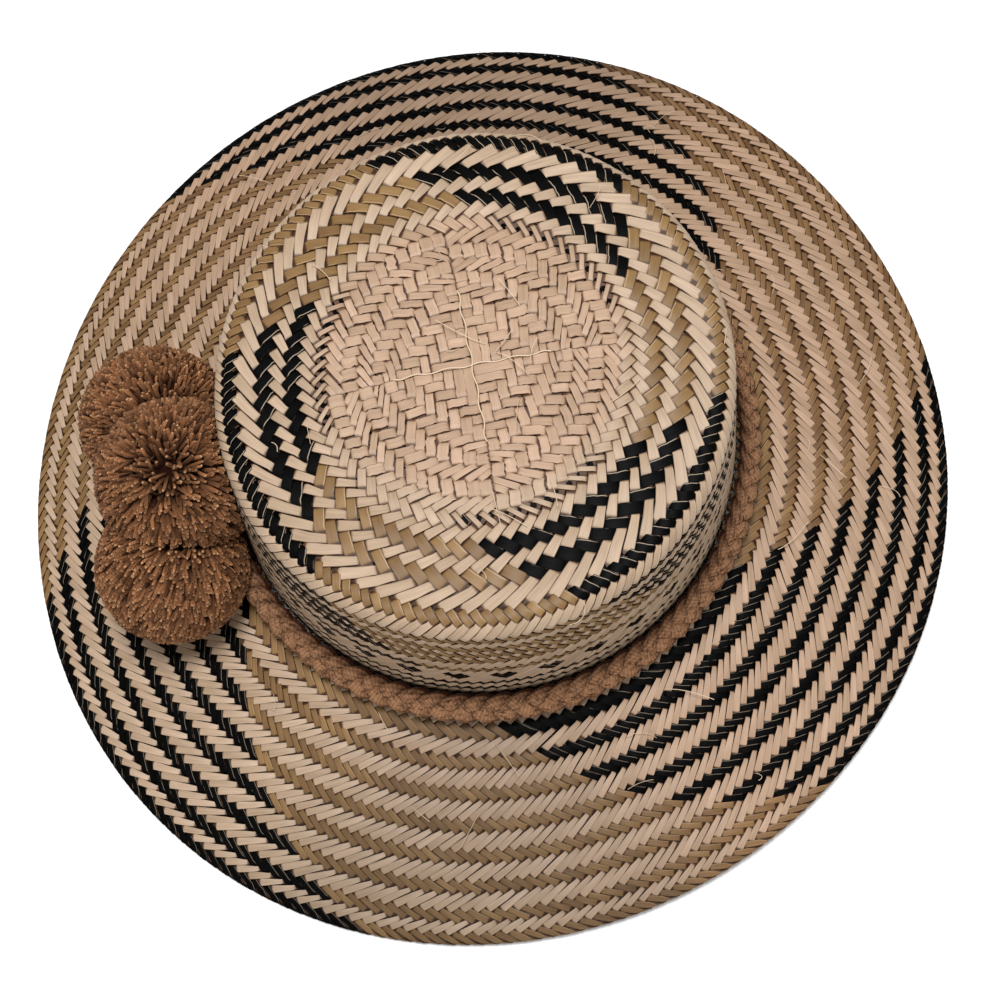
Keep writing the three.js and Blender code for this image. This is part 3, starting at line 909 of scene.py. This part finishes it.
def straw_material(name, light, dark, line=None, inner=None, gloss=0.3, rim_depth=1.0, far_shade=0.28):
    """A split palm strip: fine fibres along it, its own tone, painted shade at its sides, a pale line if
    dyed.

    inner is the light and dark tone on the crown's top; line is the colour of the pale line, the strips'
    undyed edge, which on the black strips is also a painted highlight. On the brim, rim_depth is the
    strength of the painted shade at the sides, and far_shade how much painted shade darkens its front
    and back."""
    n = Nodes(name)
    tone = n.attribute("tone")
    fine = n.noise(n.strip(0.12, 11.0), 1.0, 4.0)
    broad = n.noise(n.strip(0.06, 4.0), 1.0, 2.0)
    fibres = n.blend_sum((fine, 0.5), (broad, 0.7), offset=-0.1)
    patches = n.noise(n.strip(0.07, 0.6), 1.0, 2.0)
    shade = n.blend_sum((tone, 0.55), (patches, 0.9), offset=-0.22)
    colour = n.mix(shade, dark, light)
    where = n.separate(n.place())
    squares = [(n.times(where[k], where[k]), 1.0) for k in (0, 1)]
    radius = n.math("POWER", n.blend_sum(*squares), 0.5)
    crown = n.span(radius, *TO_CROWN)
    if inner is not None:
        ring = n.times(n.span(radius, *TO_RINGS), crown)
        drift = n.noise(n.place(), 9.0, 2.0)
        corner = n.span(n.blend_sum((where[0], -1.0), (where[1], -1.0)), *TO_CORNER)
        share = n.math("MAXIMUM", ring, n.times(corner, 0.85))
        share = n.blend_sum((share, 0.8), (n.span(drift, 0.4, 0.7), 0.2))
        colour = n.mix(share, colour, n.mix(shade, inner[1], inner[0]))
    colour = n.mix(1.0, colour, n.blend_sum((fibres, 0.8), offset=0.6), "MULTIPLY")
    across = n.separate(n.strip(1.0, 1.0))[1]
    rim = n.math("ABSOLUTE", n.math("SUBTRACT", across, 0.5))
    if line is not None:
        # The pale line: the undyed edge, and on the black strips a painted highlight too; stronger on the
        # crown
        ragged = n.noise(n.strip(0.25, 0.0), 1.0, 1.0)
        middle = n.blend_sum((ragged, LINE_SWAY), offset=LINE_PLACE)
        apart = n.math("ABSOLUTE", n.math("SUBTRACT", across, middle))
        lined = n.span(n.math("ADD", tone, ragged), *LINE_STRIPS)
        shown = n.times(n.span(apart, *LINE_EDGE), lined)
        shown = n.times(shown, n.blend_sum((crown, 0.4), offset=0.55))
        colour = n.mix(shown, colour, line)
    # Painted shade along the strip's sides, weaker off the crown by rim_depth
    rim = n.times(n.span(rim, *TO_RIM), n.blend_sum((crown, 1 - rim_depth), offset=rim_depth))
    colour = n.mix(rim, colour, n.mix(1.0, colour, RIM_PAINTED_SHADE, "MULTIPLY"))
    # Painted shade: the brim gets darker towards its front and back, mixed towards NO_LIGHT by far_shade
    beyond = n.math("SUBTRACT", n.math("ABSOLUTE", where[1]), n.math("ABSOLUTE", where[0]))
    far = n.times(n.span(beyond, *TO_ENDS), n.math("SUBTRACT", 1.0, crown))
    colour = n.mix(n.times(far, far_shade), colour, NO_LIGHT)
    # Painted shade where the strip runs under the other family, by its lift
    on_top = n.span(n.attribute("lift"), *TO_TOP)
    colour = n.mix(on_top, n.mix(1.0, colour, CREVICE_PAINTED_SHADE, "MULTIPLY"), colour)
    n.feed(n.shader, "Base Color", colour)
    n.feed(n.shader, "Roughness", n.blend_sum((fibres, 0.2), offset=STRAW_ROUGHNESS))
    n.feed(n.shader, "Specular IOR Level", gloss)
    n.bump(n.blend_sum((fibres, 0.7), (patches, 0.6)), 0.3, 0.0003)
    return n.material


TWIST = 0.62  # the twist's ridges, about one a millimetre
FUZZ_SCALE = 1400.0


def wool_material(name, deep, middle, light):
    """Twisted wool yarn: painted shade in its depths and painted light at its tips, with the twist as fine
    ridges.
    """
    n = Nodes(name)
    tone = n.attribute("tone")
    wave = {"Vector": n.strip(1.0, 3.0), "Scale": TWIST, "Distortion": 1.5, "Detail": 2.0}
    ridge = n.add("TexWave", wave, bands_direction="DIAGONAL").outputs["Fac"]
    fuzz = n.noise(n.place(), FUZZ_SCALE, 3.0)
    # Painted shade towards the depths and roots, and painted light at the tips
    shade = n.ramp(n.attribute("depth"), [(0.5, deep), (0.9, middle), (0.965, middle), (1.0, light)])
    colour = n.mix(n.times(tone, 0.8), shade, deep)
    colour = n.mix(1.0, colour, n.blend_sum((fuzz, 0.9), (ridge, 0.35), offset=0.42), "MULTIPLY")
    n.feed(n.shader, "Base Color", colour)
    n.feed(n.shader, "Roughness", 0.95)
    n.feed(n.shader, "Sheen Weight", 0.12)
    n.feed(n.shader, "Sheen Tint", light)
    n.feed(n.shader, "Specular IOR Level", 0.1)
    n.bump(n.math("ADD", ridge, fuzz), 0.5, 0.0004)
    return n.material


# Stage
FLOOR_HALF = 3.0
ROOM_LIGHT, ROOM_STRENGTH = (1.0, 0.98, 0.96, 1.0), 0.4


def soft_light(name, position, aim, size, power):
    """A round lamp, in metres and watts."""
    lamp = bpy.data.lights.new(name, "AREA")
    lamp.shape, lamp.size, lamp.energy = "DISK", size, power
    obj = add_object(name, lamp)
    obj.location = position
    obj.rotation_euler = (Vector(aim) - Vector(position)).to_track_quat("-Z", "Y").to_euler()


def camera():
    """The photo's view, tilted from straight above."""
    tilt, turn = math.radians(CAMERA_TILT), math.radians(CAMERA_TURN)
    back = Vector((math.sin(tilt) * math.sin(turn), -math.sin(tilt) * math.cos(turn), math.cos(tilt)))
    right = Vector((back.z, 0.0, -back.x)).normalized()
    upward = back.cross(right)
    data = bpy.data.cameras.new("photo_view")
    data.sensor_width = SENSOR
    data.lens = FOCAL_PIXELS * SENSOR / FRAME_PIXELS
    data.clip_start, data.clip_end = CLIP_NEAR, CLIP_FAR
    obj = add_object("photo_view", data)
    where = (Vector(CAMERA_LOOK) + back * CAMERA_DISTANCE + Vector(SHIFT)) * MM
    turned = Matrix((right, upward, back)).transposed().to_4x4()
    obj.matrix_world = Matrix.Translation(where) @ turned
    bpy.context.scene.camera = obj


def stage():
    """The floor, the room's light and two lamps."""
    mesh = bpy.data.meshes.new("floor")
    corners = [(x * FLOOR_HALF, y * FLOOR_HALF, 0) for x, y in ((-1, -1), (1, -1), (1, 1), (-1, 1))]
    mesh.from_pydata(corners, [], [(0, 1, 2, 3)])
    n = Nodes("floor_paper")
    speckle = n.noise(n.place(), 60.0, 4.0)
    n.feed(n.shader, "Base Color", n.mix(speckle, srgb(246, 246, 246), srgb(252, 252, 252)))
    n.feed(n.shader, "Roughness", 0.9)
    mesh.materials.append(n.material)
    floor = add_object("floor", mesh)
    world = bpy.data.worlds.new("studio")
    bpy.context.scene.world = world
    world.use_nodes = True
    background = world.node_tree.nodes["Background"]
    background.inputs["Color"].default_value = ROOM_LIGHT
    background.inputs["Strength"].default_value = ROOM_STRENGTH
    soft_light("soft_key", (-0.05, 0.02, 1.25), (0, 0, 0.03), size=0.45, power=15.0)
    soft_light("soft_fill", (0.1, -1.0, 0.6), (0, 0, 0.06), size=0.6, power=2.5)
    bpy.context.scene.view_settings.view_transform = "Standard"


camera()
stage()

PINK_STRAW = (srgb(181, 151, 127), srgb(151, 123, 98))
CREAM_STRAW = (srgb(179, 157, 134), srgb(153, 131, 106))
BROWN_DYE = (srgb(140, 106, 69), srgb(84, 56, 32))
OLIVE_DYE = (srgb(141, 111, 69), srgb(103, 75, 41))
BLACK_DYE = (srgb(8, 7, 7), srgb(2, 2, 2))
# Pale lines: the undyed edge, and on the black strips also a painted highlight
OLIVE_LINE, BLACK_LINE_AND_HIGHLIGHT = srgb(168, 140, 106), srgb(160, 146, 128)
NATURAL_STRAW = straw_material("natural_straw", *PINK_STRAW, inner=CREAM_STRAW, rim_depth=0.5)
OLIVE_STRAW = straw_material("olive_straw", *BROWN_DYE, line=OLIVE_LINE, inner=OLIVE_DYE, far_shade=0.32)
BLACK_STRAW = straw_material("black_straw", *BLACK_DYE, line=BLACK_LINE_AND_HIGHLIGHT, gloss=0.04)
PALE_STRAW = straw_material("pale_straw", srgb(222, 198, 170), srgb(196, 170, 142))
STRAWS = [NATURAL_STRAW, OLIVE_STRAW, BLACK_STRAW]
# Wool colours: the painted shade of the depths, the wool's own colour, and painted light at the tips
WOOL = wool_material("brown_wool", srgb(34, 10, 3), srgb(143, 97, 64), srgb(206, 158, 118))
BRAID_WOOL = wool_material("braid_wool", srgb(44, 20, 9), srgb(147, 108, 79), srgb(200, 158, 124))

rng = np.random.default_rng(SEED)
pieces = []


def straw_piece(name, parts):
    """One mesh for several stretches of plait: rows of zone, family, first and last level and fill."""
    strips = Strips()
    for zone, family, first, last, fill, *more in parts:
        plait(zone, family, first, last, fill, rng, strips, *more)
    pieces.append(strips.mesh(name, STRAWS))


middle = Strips()
centre(middle, rng)
pieces.append(middle.mesh("straw_centre", STRAWS))
straw_piece("straw_top", [(TOP, PLAIN, 1, 14, 1.0), (TOP, DYED, 0, 13, 0.99, 3)])
tips = Strips()
black_tips(tips, rng)
pieces.append(tips.mesh("straw_black_tips", STRAWS))
straw_piece("straw_crown_plain", [(SIDE, PLAIN, 1, SIDE.levels - 1, 1.0)])
straw_piece("straw_crown_dyed", [(SIDE, DYED, 0, SIDE.levels - 1, 0.99)])
straw_piece("straw_foot", [(FOOT, PLAIN, 0, 12, 1.02), (FOOT, DYED, 0, 11, 1.0)])
straw_piece("straw_brim_plain", [(BRIM, PLAIN, 1, BRIM.levels - 1, 1.04)])
straw_piece("straw_brim_dyed", [(BRIM, DYED, 0, BRIM.levels - 1, 1.0)])
pieces.append(threads([PALE_STRAW]))
pieces.append(loose_fibres(rng, [PALE_STRAW]))
for piece in pieces:
    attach(piece, "root")
    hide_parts("straw_body")

for band in (braid([BRAID_WOOL]), fuzz(rng, [BRAID_WOOL])):
    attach(band, "root")
    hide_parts("braid_band")

for name, place_in_hat, size, tied in POMPOMS:
    others = [(np.array(point) + SHIFT, other) for label, point, other, _ in POMPOMS if label != name]
    ball = pompom(name, np.array(place_in_hat) + SHIFT, size, tied, others, rng, [WOOL])
    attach(ball, "root")
    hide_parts(name)
